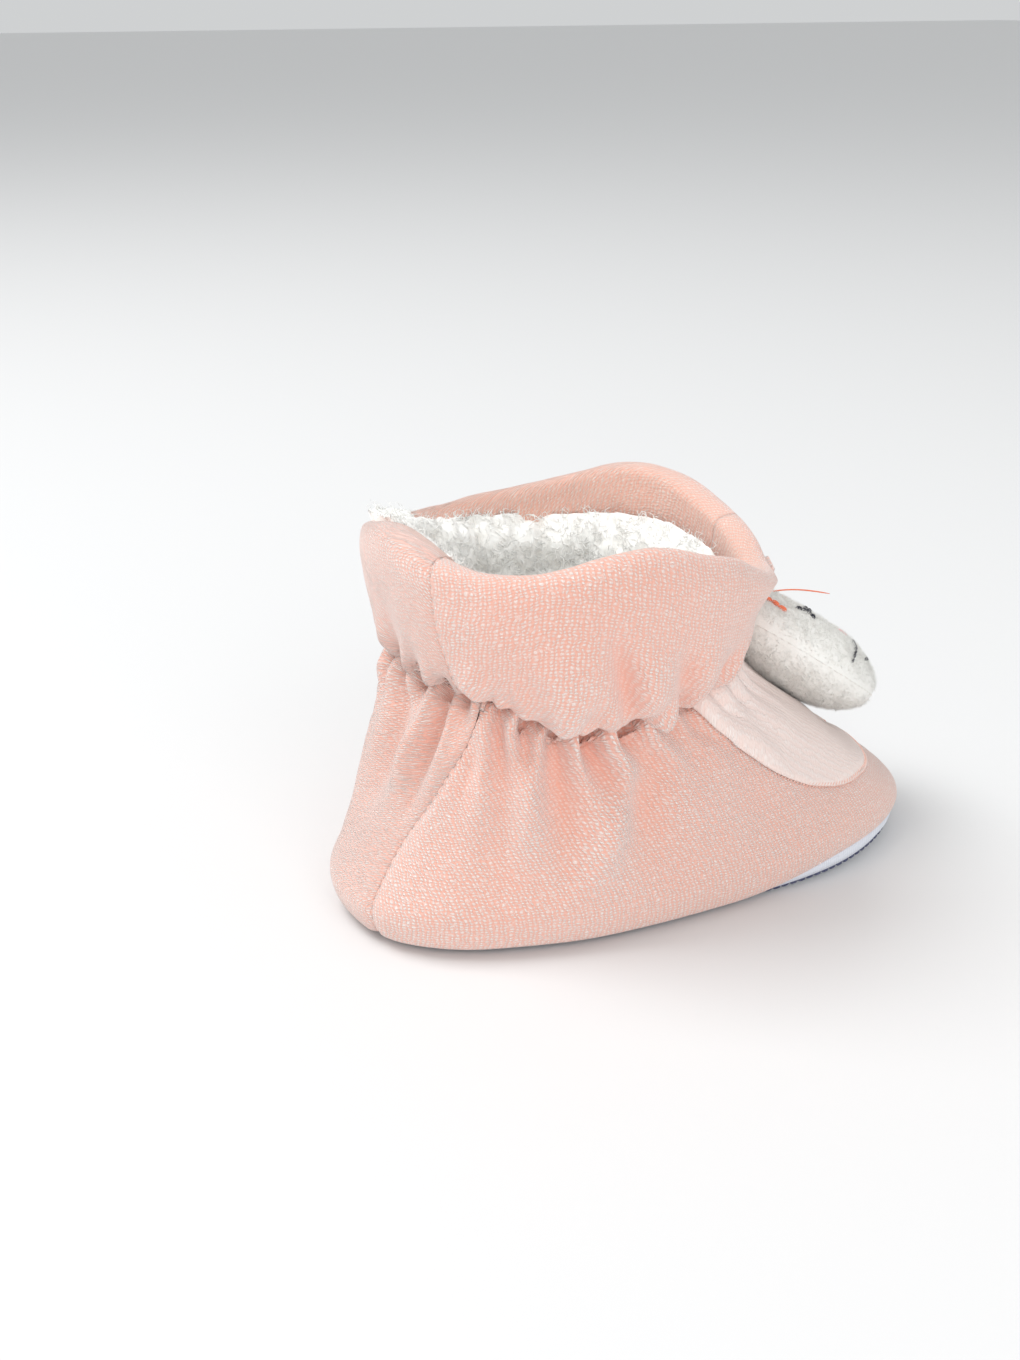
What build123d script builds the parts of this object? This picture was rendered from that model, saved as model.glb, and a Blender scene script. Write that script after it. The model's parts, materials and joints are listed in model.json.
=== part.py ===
"""Baby bootie: a soft slip-on with an elasticated ankle, a flared cuff, a pile lining, an anti-slip
sole and a small stuffed animal's head sewn on its instep.

Frame: +X towards the toe, +Y to the wearer's left, +Z up. The origin is on the floor, under the
middle of the bootie. Millimetres.
"""

import os
from math import cos, pi, radians, sin

from build123d import *

os.makedirs("parts", exist_ok=True)

# ---------------------------------------------------------------- driving dimensions
# The outer form, from the sole to the rim. Each station is one level cut through it:
# height, back, front, half width at the heel, half width at the ball of the foot.
STATIONS = [
    (0.6, -58.0, 57.6, 25.5, 29.5),
    (3.0, -60.4, 60.2, 27.5, 31.5),
    (8.0, -62.0, 62.0, 29.0, 33.0),
    (14.0, -60.8, 58.6, 29.3, 32.0),
    (20.0, -58.8, 50.0, 28.8, 30.0),
    (26.0, -57.0, 37.0, 28.2, 28.6),
    (33.0, -55.2, 25.0, 27.6, 27.4),
    (40.0, -52.6, 18.0, 26.6, 26.0),
    (46.0, -48.8, 15.5, 25.0, 24.5),
    (53.0, -50.2, 18.2, 28.3, 28.0),
    (61.0, -53.0, 22.2, 32.0, 31.8),
    (69.0, -54.4, 24.4, 33.8, 33.6),
    (75.5, -53.8, 24.0, 33.4, 33.2),
]
SQUARENESS = 2.4  # exponent of each cut's outline, where 2 is an ellipse
OUTLINE_POINTS = 16
FAR = 200.0  # larger than the whole bootie

# The layers of the wall, as depths below the outer form.
VELOUR = 1.5
STITCHES_OUT, STITCHES_IN = 1.65, 1.9
ELASTIC_OUT, ELASTIC_IN = 2.0, 2.8
LINING_OUT, LINING_IN = 3.1, 5.6

# The layers of the sole, as heights.
DOT_HEIGHT, DOT_RADIUS, DOT_PITCH = 0.6, 2.0, 11.0
OUTSOLE_TOP = 2.4
SOLE_SEAM_LOW, SOLE_SEAM_HIGH = 2.5, 2.9
UPPER_LOW = 3.0
PAD_LOW, PAD_HIGH = 2.5, 5.5
LINING_LOW = 5.6
FOOTBED_HIGH, FOOTBED_GAP = 9.4, 0.2
SOLE_INSET = 1.0
SOLE_SEAM_INSET, SOLE_SEAM_WIDTH = 1.6, 0.6
PAD_INSET = 5.0  # inside the seam's thread

# The cuff's velour folds over the rim and comes down inside as a facing.
RIM = 75.5
RIM_THICKNESS = 1.5
FACING_LOW = 60.0
FACING_OUT = 4.1
HEM_GAP, HEM_THREAD = 0.5, 0.3

# The gathered ankle.
NECK = 46.0
ELASTIC_WIDTH = 6.0
STITCH_WIDTH = 1.0

# Raised trim, as heights above the outer form.
PATCH_LOW, PATCH_HIGH = 0.1, 0.9
THREAD_LOW, THREAD_HIGH = 0.05, 0.35
THREAD_WIDTH = 0.6
SEAM_GAP = 0.05
PATCH_BACK, PATCH_FRONT, PATCH_HALF_WIDTH = 6.0, 52.0, 24.0
PATCH_CORNER = 19.0
PATCH_CLEARANCE = 4.0
PATCH_STITCH_INSET = 1.2
PATCH_OPEN = 4.0

# The stuffed head: a flat pillow that leans down over the instep.
HEAD_CENTRE = (36.3, 0.0, 36.9)
HEAD_LEAN = 35.0
HEAD_HALF = (21.5, 19.0, 7.5)
HEAD_CLOTH = 1.2
HEAD_GAP = 0.15
EMBROIDERY_LOW, EMBROIDERY_HIGH = 0.05, 0.45
STROKE = 0.9
FACE_TURN = -45.0  # the face is turned on the head, so its chin points to the right
EYE_ALONG, EYE_ACROSS, EYE_RADIUS, EYE_SPREAD = 1.0, 9.0, 4.0, 55.0
LASH_ACROSS, LASH_LENGTH, LASH_TURN = 2.0, 2.6, 40.0
NOSE_ALONG, NOSE_LENGTH, NOSE_WIDTH = 9.0, 2.6, 4.2
MOUTH_ALONG, MOUTH_LENGTH, MOUTH_TURN = 12.4, 10.0, 9.5
CHIN_ALONG, CHIN_LENGTH = 15.8, 6.0
CHEEK_ALONG, CHEEK_ACROSS, CHEEK_LENGTH, CHEEK_TURN = -4.0, 16.3, 6.0, 5.0
CROWN_ALONG, CROWN_LENGTH = -6.5, 9.0
LOOSE_END_START, LOOSE_END_LENGTH, LOOSE_END_RADIUS = (28.5, 50.4), 19.0, 0.25
# The stitches that hold the head, in x and z. It swings about them.
TACK_PLACE, TACK_RADIUS, TACK_LENGTH = (17.9, 49.7), 0.4, 14.0


# ---------------------------------------------------------------- shared forms
def signed_power(value, power):
    """value to a power below 1, with its sign kept."""
    return abs(value) ** power * (1 if value >= 0 else -1)


def outline(station, inset):
    """The points of one level cut, moved in by inset."""
    _, back, front, heel, ball = station
    middle = (back + front) / 2
    half_length = (front - back) / 2 - inset
    points = []
    for step in range(OUTLINE_POINTS):
        turn = 2 * pi * step / OUTLINE_POINTS
        half_width = heel + (ball - heel) * (1 + cos(turn)) / 2 - inset
        along = half_length * signed_power(cos(turn), 2 / SQUARENESS)
        across = half_width * signed_power(sin(turn), 2 / SQUARENESS)
        points.append((middle + along, across))
    return points


def bootie_form(inset):
    """The whole outer form as one closed solid, moved in by inset."""
    with BuildPart() as form:
        for station in STATIONS:
            with BuildSketch(Plane.XY.offset(station[0])):
                with BuildLine():
                    Spline(*outline(station, inset), periodic=True)
                make_face()
        loft()
    return form.part


def keep_between(low, high):
    """Cuts the current part down to what lies between two heights."""
    split(bisect_by=Plane.XY.offset(low), keep=Keep.TOP)
    split(bisect_by=Plane.XY.offset(high), keep=Keep.BOTTOM)


def wall(outside, inside, low, high):
    """The wall between two nested forms and two heights."""
    with BuildPart() as ring:
        add(outside)
        add(inside, mode=Mode.SUBTRACT)
        keep_between(low, high)
    return ring.part


def around(height, width):
    """The two heights of a band."""
    return height - width / 2, height + width / 2


def patch_outline(inset):
    """The instep patch seen from above, moved in by inset: straight at the back, round in front."""
    with BuildSketch() as patch:
        with Locations(((PATCH_BACK + PATCH_FRONT) / 2, 0)):
            Rectangle(PATCH_FRONT - PATCH_BACK - 2 * inset, 2 * (PATCH_HALF_WIDTH - inset))
        fillet(patch.vertices().group_by(Axis.X)[-1], PATCH_CORNER - inset)
    return patch.sketch


def export(builder, name):
    """Labels a finished piece and writes it under its node's name."""
    builder.part.label = name
    export_step(builder.part, f"parts/{name}.step")


skin = bootie_form(0)
skin_inside = bootie_form(VELOUR)
lining_outside = bootie_form(LINING_OUT)
facing_outside = bootie_form(FACING_OUT)
hollow = bootie_form(LINING_IN)
over_skin = bootie_form(-PATCH_LOW)
over_patch = bootie_form(-PATCH_HIGH)
near_skin = bootie_form(-THREAD_LOW)
over_thread = bootie_form(-THREAD_HIGH)
under_patch_thread = bootie_form(-PATCH_HIGH - THREAD_LOW)
over_patch_thread = bootie_form(-PATCH_HIGH - THREAD_HIGH)


# ---------------------------------------------------------------- the sole
with BuildPart() as outsole:
    with BuildSketch(Plane.XY.offset(DOT_HEIGHT)):
        with BuildLine():
            Spline(*outline(STATIONS[0], SOLE_INSET), periodic=True)
        make_face()
    extrude(amount=OUTSOLE_TOP - DOT_HEIGHT)
export(outsole, "outsole")


def dot_places():
    """The grid of anti-slip dots that fits inside the sole's edge."""
    with BuildSketch() as area:
        with BuildLine():
            Spline(*outline(STATIONS[0], SOLE_INSET + 1.5 * DOT_RADIUS), periodic=True)
        make_face()
    rows = round(STATIONS[0][4] / DOT_PITCH) + 1
    columns = round(STATIONS[0][2] / DOT_PITCH) + 1
    places = []
    for row in range(-rows, rows + 1):
        for column in range(-columns, columns + 1):
            along = (column + (row % 2) / 2) * DOT_PITCH
            across = row * DOT_PITCH * sin(radians(60))
            if area.sketch.face().is_inside((along, across, 0)):
                places.append((along, across))
    return places


with BuildPart() as grip_dots:
    with BuildSketch():
        with Locations(*dot_places()):
            Circle(DOT_RADIUS)
    extrude(amount=DOT_HEIGHT)
export(grip_dots, "grip_dots")

pad_form = bootie_form(PAD_INSET)

with BuildPart() as sole_pad:
    add(pad_form)
    keep_between(PAD_LOW, PAD_HIGH)
export(sole_pad, "sole_pad")

footbed_form = bootie_form(LINING_IN + FOOTBED_GAP)

with BuildPart() as footbed:
    add(footbed_form)
    keep_between(LINING_LOW, FOOTBED_HIGH)
export(footbed, "footbed")

with BuildPart() as sole_seam_thread:
    with BuildSketch(Plane.XY.offset(SOLE_SEAM_LOW)):
        for inset, mode in ((0, Mode.ADD), (SOLE_SEAM_WIDTH, Mode.SUBTRACT)):
            with BuildLine():
                Spline(*outline(STATIONS[0], SOLE_SEAM_INSET + inset), periodic=True)
            make_face(mode=mode)
    extrude(amount=SOLE_SEAM_HIGH - SOLE_SEAM_LOW)
export(sole_seam_thread, "sole_seam_thread")


# ---------------------------------------------------------------- the upper and its lining
# Each half stops just short of the middle, where the seams run up the heel and the toe.
SIDES = {
    "right": (Plane.XZ.offset(SEAM_GAP), Keep.TOP),
    "left": (Plane.XZ.offset(-SEAM_GAP), Keep.BOTTOM),
}

outer_wall = wall(skin, skin_inside, UPPER_LOW, RIM - RIM_THICKNESS)
facing_wall = wall(facing_outside, hollow, FACING_LOW, RIM - RIM_THICKNESS)
rim_fold = wall(skin, hollow, RIM - RIM_THICKNESS, RIM)
lining_wall = wall(lining_outside, hollow, LINING_LOW, FACING_LOW - HEM_GAP)

for side, (middle, kept_side) in SIDES.items():
    with BuildPart() as upper:
        add(outer_wall)
        add(facing_wall)
        add(rim_fold)
        split(bisect_by=middle, keep=kept_side)
    export(upper, f"upper_{side}")

    with BuildPart() as lining:
        add(lining_wall)
        split(bisect_by=middle, keep=kept_side)
    export(lining, f"lining_{side}")

for name, outside, inside, low, high in (
    ("facing_seam_thread", facing_outside, hollow, *around(FACING_LOW - HEM_GAP / 2, HEM_THREAD)),
    ("ankle_elastic", bootie_form(ELASTIC_OUT), bootie_form(ELASTIC_IN), *around(NECK, ELASTIC_WIDTH)),
    ("elastic_stitching", bootie_form(STITCHES_OUT), bootie_form(STITCHES_IN), *around(NECK, STITCH_WIDTH)),
):
    with BuildPart() as band:
        add(outside)
        add(inside, mode=Mode.SUBTRACT)
        keep_between(low, high)
    export(band, name)

seam_line = wall(over_thread, near_skin, UPPER_LOW, RIM)

for name, start, stop in (
    ("back_seam_thread", -FAR, STATIONS[8][1]),
    ("toe_seam_thread", PATCH_FRONT + THREAD_WIDTH, FAR),
):
    with BuildPart() as seam:
        add(seam_line)
        with Locations(((start + stop) / 2, 0, 0)):
            Box(stop - start, THREAD_WIDTH, FAR, mode=Mode.INTERSECT)
    export(seam, name)

patch_wall = wall(over_patch, over_skin, UPPER_LOW, NECK - PATCH_CLEARANCE)
patch_thread_wall = wall(over_patch_thread, under_patch_thread, UPPER_LOW, NECK - PATCH_CLEARANCE)
patch_edge = patch_outline(0)
stitch_edges = patch_outline(PATCH_STITCH_INSET), patch_outline(PATCH_STITCH_INSET + THREAD_WIDTH)

with BuildPart() as instep_patch:
    with BuildSketch():
        add(patch_edge)
    extrude(amount=FAR)
    add(patch_wall, mode=Mode.INTERSECT)
export(instep_patch, "instep_patch")

with BuildPart() as patch_stitching:
    with BuildSketch():
        add(stitch_edges[0])
        add(stitch_edges[1], mode=Mode.SUBTRACT)
        with Locations((PATCH_BACK, 0)):
            Rectangle(2 * PATCH_OPEN, 2 * PATCH_HALF_WIDTH, mode=Mode.SUBTRACT)
    extrude(amount=FAR)
    add(patch_thread_wall, mode=Mode.INTERSECT)
export(patch_stitching, "patch_stitching")


# ---------------------------------------------------------------- the stuffed head
LEAN = radians(HEAD_LEAN)
# Its x runs from the crown to the chin, its y to the left, and its z out of the face.
HEAD_PLANE = Plane(
    origin=HEAD_CENTRE, x_dir=(cos(LEAN), 0, -sin(LEAN)), z_dir=(sin(LEAN), 0, cos(LEAN))
)
FACE_PLANE = HEAD_PLANE.rotated((0, 0, FACE_TURN))


def head_form(inset):
    """The head's whole pillow, moved in by inset."""
    with BuildPart() as pillow:
        Sphere(1)
        scale(by=tuple(half - inset for half in HEAD_HALF))
    return HEAD_PLANE * pillow.part


def arc_stroke(along, across, radius, spread):
    """A stitched arc that bulges towards the chin, as far to each side of it as spread says."""
    middle = (along - radius, across)
    with BuildSketch() as stroke:
        with Locations(middle):
            Circle(radius + STROKE / 2)
            Circle(radius - STROKE / 2, mode=Mode.SUBTRACT)
        with Locations((middle[0] + radius * cos(radians(spread)) + radius, across)):
            Rectangle(2 * radius, 4 * radius, mode=Mode.INTERSECT)
    return stroke.sketch


head_outside = head_form(0)
head_inside = head_form(HEAD_CLOTH)

for name, kept_side in (("head_face_panel", Keep.TOP), ("head_back_panel", Keep.BOTTOM)):
    with BuildPart() as panel:
        add(head_outside)
        add(head_inside, mode=Mode.SUBTRACT)
        split(bisect_by=HEAD_PLANE, keep=kept_side)
    export(panel, name)

with BuildPart() as head_stuffing:
    add(head_form(HEAD_CLOTH + HEAD_GAP))
export(head_stuffing, "head_stuffing")

with BuildPart() as head_raised:
    add(head_form(-EMBROIDERY_HIGH))
    add(head_form(-EMBROIDERY_LOW), mode=Mode.SUBTRACT)

with BuildPart() as head_seam_thread:
    with BuildSketch(HEAD_PLANE.offset(-THREAD_WIDTH / 2)):
        Circle(FAR)
    extrude(amount=THREAD_WIDTH)
    add(head_raised.part, mode=Mode.INTERSECT)
export(head_seam_thread, "head_seam_thread")

for name, side in (("right", -1), ("left", 1)):
    eye_stroke = arc_stroke(EYE_ALONG, side * EYE_ACROSS, EYE_RADIUS, EYE_SPREAD)

    with BuildPart() as eye:
        with BuildSketch(FACE_PLANE.offset(THREAD_WIDTH)):
            add(eye_stroke)
            with Locations((EYE_ALONG, side * (EYE_ACROSS + LASH_ACROSS))):
                SlotOverall(LASH_LENGTH, STROKE, rotation=side * LASH_TURN)
        extrude(amount=FAR)
        add(head_raised.part, mode=Mode.INTERSECT)
    export(eye, f"eye_{name}")

with BuildPart() as orange_stroke:
    with BuildSketch(FACE_PLANE.offset(THREAD_WIDTH)):
        with Locations((CHEEK_ALONG, -CHEEK_ACROSS)):
            SlotOverall(CHEEK_LENGTH, STROKE, rotation=-CHEEK_TURN)
    extrude(amount=FAR)
    add(head_raised.part, mode=Mode.INTERSECT)
export(orange_stroke, "orange_stroke_right")

with BuildPart() as nose:
    with BuildSketch(FACE_PLANE.offset(THREAD_WIDTH)):
        with Locations((NOSE_ALONG, 0)):
            Ellipse(NOSE_LENGTH / 2, NOSE_WIDTH / 2)
    extrude(amount=FAR)
    add(head_raised.part, mode=Mode.INTERSECT)
export(nose, "nose")

with BuildPart() as mouth:
    with BuildSketch(FACE_PLANE.offset(THREAD_WIDTH)):
        for side in (-1, 1):
            with Locations((MOUTH_ALONG, side * MOUTH_LENGTH / 2)):
                SlotOverall(MOUTH_LENGTH + STROKE, STROKE, rotation=side * (90 - MOUTH_TURN))
        with Locations((CHIN_ALONG, 0)):
            SlotOverall(CHIN_LENGTH, STROKE, rotation=90)
    extrude(amount=FAR)
    add(head_raised.part, mode=Mode.INTERSECT)
export(mouth, "mouth")

with BuildPart() as crown_stroke:
    with BuildSketch(FACE_PLANE.offset(THREAD_WIDTH)):
        with Locations((CROWN_ALONG, 0)):
            SlotOverall(CROWN_LENGTH, STROKE)
    extrude(amount=FAR)
    add(head_raised.part, mode=Mode.INTERSECT)
export(crown_stroke, "crown_stroke")

with BuildPart() as loose_thread_end:
    with BuildSketch(Plane.YZ.offset(LOOSE_END_START[0])):
        with Locations((0, LOOSE_END_START[1])):
            Circle(LOOSE_END_RADIUS)
    extrude(amount=LOOSE_END_LENGTH)
export(loose_thread_end, "loose_thread_end")

with BuildPart() as head_tack_thread:
    with BuildSketch(Plane.XZ.offset(-TACK_LENGTH / 2)):
        with Locations(TACK_PLACE):
            Circle(TACK_RADIUS)
    extrude(amount=TACK_LENGTH)
export(head_tack_thread, "head_tack_thread")
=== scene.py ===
"""Baby bootie: velour upper with gathered ankle and flared cuff, pile lining, soft sole and stuffed head.

Shapes are worked out in millimetres and written to Blender in metres. Angles run around the ankle from the
toe (0) by the left side (90 degrees) to the heel (180); the right side is negative.
"""

import json
import math

import bpy
import numpy as np
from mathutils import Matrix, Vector


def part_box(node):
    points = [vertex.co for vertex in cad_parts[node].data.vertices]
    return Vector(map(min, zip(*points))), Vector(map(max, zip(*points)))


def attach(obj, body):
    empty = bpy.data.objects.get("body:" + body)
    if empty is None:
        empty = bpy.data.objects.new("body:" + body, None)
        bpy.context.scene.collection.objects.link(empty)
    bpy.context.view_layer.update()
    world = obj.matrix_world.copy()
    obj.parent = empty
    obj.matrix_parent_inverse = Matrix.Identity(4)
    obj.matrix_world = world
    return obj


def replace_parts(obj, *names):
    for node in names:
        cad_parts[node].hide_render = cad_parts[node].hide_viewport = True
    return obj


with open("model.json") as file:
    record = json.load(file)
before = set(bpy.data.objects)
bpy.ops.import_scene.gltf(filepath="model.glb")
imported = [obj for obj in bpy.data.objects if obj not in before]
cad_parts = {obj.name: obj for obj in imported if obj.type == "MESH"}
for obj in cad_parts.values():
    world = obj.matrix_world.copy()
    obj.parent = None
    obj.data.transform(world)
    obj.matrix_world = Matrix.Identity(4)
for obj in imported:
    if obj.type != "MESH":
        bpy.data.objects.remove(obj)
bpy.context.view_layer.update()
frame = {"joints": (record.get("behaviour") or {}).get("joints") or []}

MM = 0.001


def node_box(name):
    """A CAD node's lowest and highest corners, in millimetres."""
    low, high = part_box(name)
    return np.array(low) / MM, np.array(high) / MM


UPPER_LOW, UPPER_HIGH = node_box("upper_right")
SOLE_LOW, SOLE_HIGH = node_box("outsole")
FOOTBED_LOW, FOOTBED_HIGH = node_box("footbed")
HINGE = np.array(frame["joints"][0]["pos_m"]) / MM
# The stations below are written for a bootie this long and high, and follow the CAD's real size.
NOMINAL_LENGTH, NOMINAL_RIM = 124.0, 75.5
ALONG = (UPPER_HIGH[0] - UPPER_LOW[0]) / NOMINAL_LENGTH
UP = UPPER_HIGH[2] / NOMINAL_RIM
PI = math.pi


# ------------------------------------------------------------------ small tools
def smooth(edge0, edge1, x):
    """0 below edge0, 1 above edge1, and smooth between."""
    k = np.clip((x - edge0) / (edge1 - edge0), 0, 1)
    return k * k * (3 - 2 * k)


def through(positions, values, x):
    """A smooth curve through a few values, at x."""
    positions, values = np.asarray(positions, float), np.asarray(values, float)
    slopes = np.gradient(values, positions, axis=0)
    i = np.clip(np.searchsorted(positions, x, side="right") - 1, 0, len(positions) - 2)
    width = positions[i + 1] - positions[i]
    k = np.clip((x - positions[i]) / width, 0, 1)
    a, b, c, d = 2 * k**3 - 3 * k**2 + 1, -2 * k**3 + 3 * k**2, k**3 - 2 * k**2 + k, k**3 - k**2
    if values.ndim > 1:
        a, b, c, d, width = (v[..., None] for v in (a, b, c, d, width))
    return a * values[i] + b * values[i + 1] + width * (c * slopes[i] + d * slopes[i + 1])


def around(degrees, values, theta):
    """A smooth closed curve through a few values at angles from -180 to 180 degrees."""
    degrees, values = np.asarray(degrees), np.asarray(values)
    where = np.concatenate([degrees[-2:] - 360, degrees, degrees[:2] + 360])
    what = np.concatenate([values[-2:], values, values[:2]])
    return through(where, what, np.degrees(theta))


def lattice(cells, seed):
    """A repeatable random number from -1 to 1 for each lattice cell."""
    n = cells[..., 0] * 374761393 + cells[..., 1] * 668265263
    n = n + cells[..., 2] * 2147483647 + seed * 974634777
    n = (n ^ (n >> 13)) * 1274126177
    n = n ^ (n >> 16)
    return (n & 0xFFFF) / 32767.5 - 1


def noise(points, size, seed=0, octaves=2):
    """Smooth noise from about -1 to 1, with features of that size."""
    total, share = 0, 1.0
    for octave in range(octaves):
        p = points / size * 2**octave
        cell = np.floor(p).astype(np.int64)
        f = p - cell
        f = f * f * (3 - 2 * f)
        value = 0
        for dx in (0, 1):
            for dy in (0, 1):
                for dz in (0, 1):
                    corner = lattice(cell + np.array([dx, dy, dz]), seed + octave * 57)
                    weight = abs(1 - dx - f[..., 0]) * abs(1 - dy - f[..., 1]) * abs(1 - dz - f[..., 2])
                    value = value + corner * weight
        total = total + value * share
        share *= 0.5
    return total


def lumps(points, size, seed=0):
    """Rounded tufts of that size: near 1 at a tuft's middle and near 0 between tufts."""
    p = points / size
    cell = np.floor(p).astype(np.int64)
    nearest = np.full(p.shape[:-1], 9.0)
    for dx in (-1, 0, 1):
        for dy in (-1, 0, 1):
            for dz in (-1, 0, 1):
                c = cell + np.array([dx, dy, dz])
                middle = c + 0.5 + 0.42 * np.stack([lattice(c, seed + k) for k in range(3)], axis=-1)
                nearest = np.minimum(nearest, ((p - middle) ** 2).sum(-1))
    return np.clip(1 - nearest, 0, 1)


def unit(v):
    return v / np.maximum(np.linalg.norm(v, axis=-1, keepdims=True), 1e-12)


def grid_normals(p):
    """Normals of a grid of points, pointing along (second direction) x (first direction)."""
    return unit(np.cross(np.gradient(p, axis=0), np.gradient(p, axis=1)))


def new_piece(name, points, faces, materials, body, uv=None, shades=None, face_materials=None):
    """A mesh piece from points in millimetres, riding on its body."""
    mesh = bpy.data.meshes.new(name)
    points = np.asarray(points, float) * MM
    faces = [f for f in faces if len(f)]
    corner_total = sum(f.size for f in faces)
    mesh.vertices.add(len(points))
    mesh.vertices.foreach_set("co", points.astype(np.float32).ravel())
    mesh.loops.add(corner_total)
    mesh.loops.foreach_set("vertex_index", np.concatenate([f.ravel() for f in faces]).astype(np.int32))
    sizes = np.concatenate([np.full(len(f), f.shape[1]) for f in faces])
    starts = np.concatenate([[0], np.cumsum(sizes)[:-1]])
    mesh.polygons.add(len(sizes))
    mesh.polygons.foreach_set("loop_start", starts.astype(np.int32))
    mesh.polygons.foreach_set("use_smooth", np.ones(len(sizes), bool))
    if face_materials is not None:
        mesh.polygons.foreach_set("material_index", np.asarray(face_materials, np.int32))
    mesh.update(calc_edges=True)
    corners = np.concatenate([f.ravel() for f in faces])
    if uv is not None:
        layer = mesh.uv_layers.new(name="Cloth")
        layer.data.foreach_set("uv", np.asarray(uv, np.float32)[corners].ravel())
    if shades is not None:
        layer = mesh.attributes.new("shade", "FLOAT", "POINT")
        layer.data.foreach_set("value", np.asarray(shades, np.float32))
    for material in materials:
        mesh.materials.append(material)
    obj = bpy.data.objects.new(name, mesh)
    bpy.context.scene.collection.objects.link(obj)
    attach(obj, body)
    return obj


def grid_faces(rows, columns, closed=False, flip=False):
    """Quads of a grid whose points are stored row by row. closed joins the last column to the first."""
    last = columns if closed else columns - 1
    r, c = np.meshgrid(np.arange(rows - 1), np.arange(last), indexing="ij")
    d = (c + 1) % columns
    low, high = r * columns, (r + 1) * columns
    quads = np.stack([low + c, low + d, high + d, high + c], axis=-1).reshape(-1, 4)
    return quads[:, ::-1] if flip else quads


class Heap:
    """Points and faces of many small shapes, gathered into one mesh."""

    def __init__(self):
        self.points, self.faces, self.shades, self.count = [], [], [], 0

    def add(self, points, faces, shade=0.0):
        points = points.reshape(-1, 3)
        self.points.append(points)
        self.faces += [f + self.count for f in faces]
        self.shades.append(np.broadcast_to(np.asarray(shade, float).ravel(), (len(points),)))
        self.count += len(points)

    def piece(self, name, material, body):
        return new_piece(name, np.concatenate(self.points), self.faces, [material], body,
                         shades=np.concatenate(self.shades))


def thicken(obj, thickness, offset=0):
    """Gives a piece of cloth its thickness in millimetres: on both sides of it, or inward for offset -1."""
    made = obj.modifiers.new("cloth", "SOLIDIFY")
    made.thickness, made.offset = thickness * MM, offset


def tube(heap, path, radius, sides=6):
    """A thread along a path, with rounded ends."""
    path = np.asarray(path, float)
    steps = len(path)
    direction = unit(np.gradient(path, axis=0))
    side = unit(np.cross(direction, np.array([0.13, 0.31, 0.94])))
    other = np.cross(direction, side)
    k = np.linspace(-1, 1, steps)
    girth = radius * (1 - 0.65 * np.abs(k) ** 6)
    turn = np.arange(sides) * 2 * PI / sides
    ring = np.cos(turn)[None, :, None] * side[:, None] + np.sin(turn)[None, :, None] * other[:, None]
    points = path[:, None] + ring * girth[:, None, None]
    ends = np.stack([path[0] - direction[0] * radius * 0.3, path[-1] + direction[-1] * radius * 0.3])
    total = steps * sides
    quads = grid_faces(steps, sides, closed=True)
    around_ends = np.arange(sides)
    cap0 = np.stack([np.full(sides, total), (around_ends + 1) % sides, around_ends], axis=-1)
    last = (steps - 1) * sides
    far_ends = last + around_ends, last + (around_ends + 1) % sides
    cap1 = np.stack([np.full(sides, total + 1), *far_ends], axis=-1)
    heap.add(np.concatenate([points.reshape(-1, 3), ends]), [quads, cap0, cap1])


def fibres(heap, roots, normals, length, radius, seed, curl, lean, steps=3):
    """Many short pile fibres standing on a surface, each a thin three-sided curved cone."""
    rng = np.random.default_rng(seed)
    count = len(roots)
    tangent = unit(np.cross(normals, rng.normal(size=(count, 3))))
    other = np.cross(normals, tangent)
    long = length * rng.uniform(0.6, 1.25, count)[:, None]
    bend = rng.uniform(-1, 1, (count, 1)) * curl
    k = np.linspace(0, 1, steps + 1)[None, :, None]
    out = normals[:, None] * (k * (1 - 0.35 * k * np.abs(bend)[:, None]))
    across = tangent[:, None] * (lean * k**1.5) + other[:, None] * (bend[:, None] * np.sin(k * PI * 0.9))
    path = roots[:, None] + (out + across) * long[:, None]
    turn = np.arange(3) * 2 * PI / 3
    ring = np.cos(turn)[None, None, :, None] * tangent[:, None, None] + (
        np.sin(turn)[None, None, :, None] * other[:, None, None]
    )
    girth = radius * (1 - 0.75 * k[..., None])
    points = path[:, :, None] + ring * girth
    per = (steps + 1) * 3
    quads = grid_faces(steps + 1, 3, closed=True)
    top = np.array([[steps * 3, steps * 3 + 1, steps * 3 + 2]])
    starts = (np.arange(count) * per)[:, None, None]
    faces = [(quads[None] + starts).reshape(-1, 4), (top[None] + starts).reshape(-1, 3)]
    heap.add(points, faces, shade=1.0)


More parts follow.
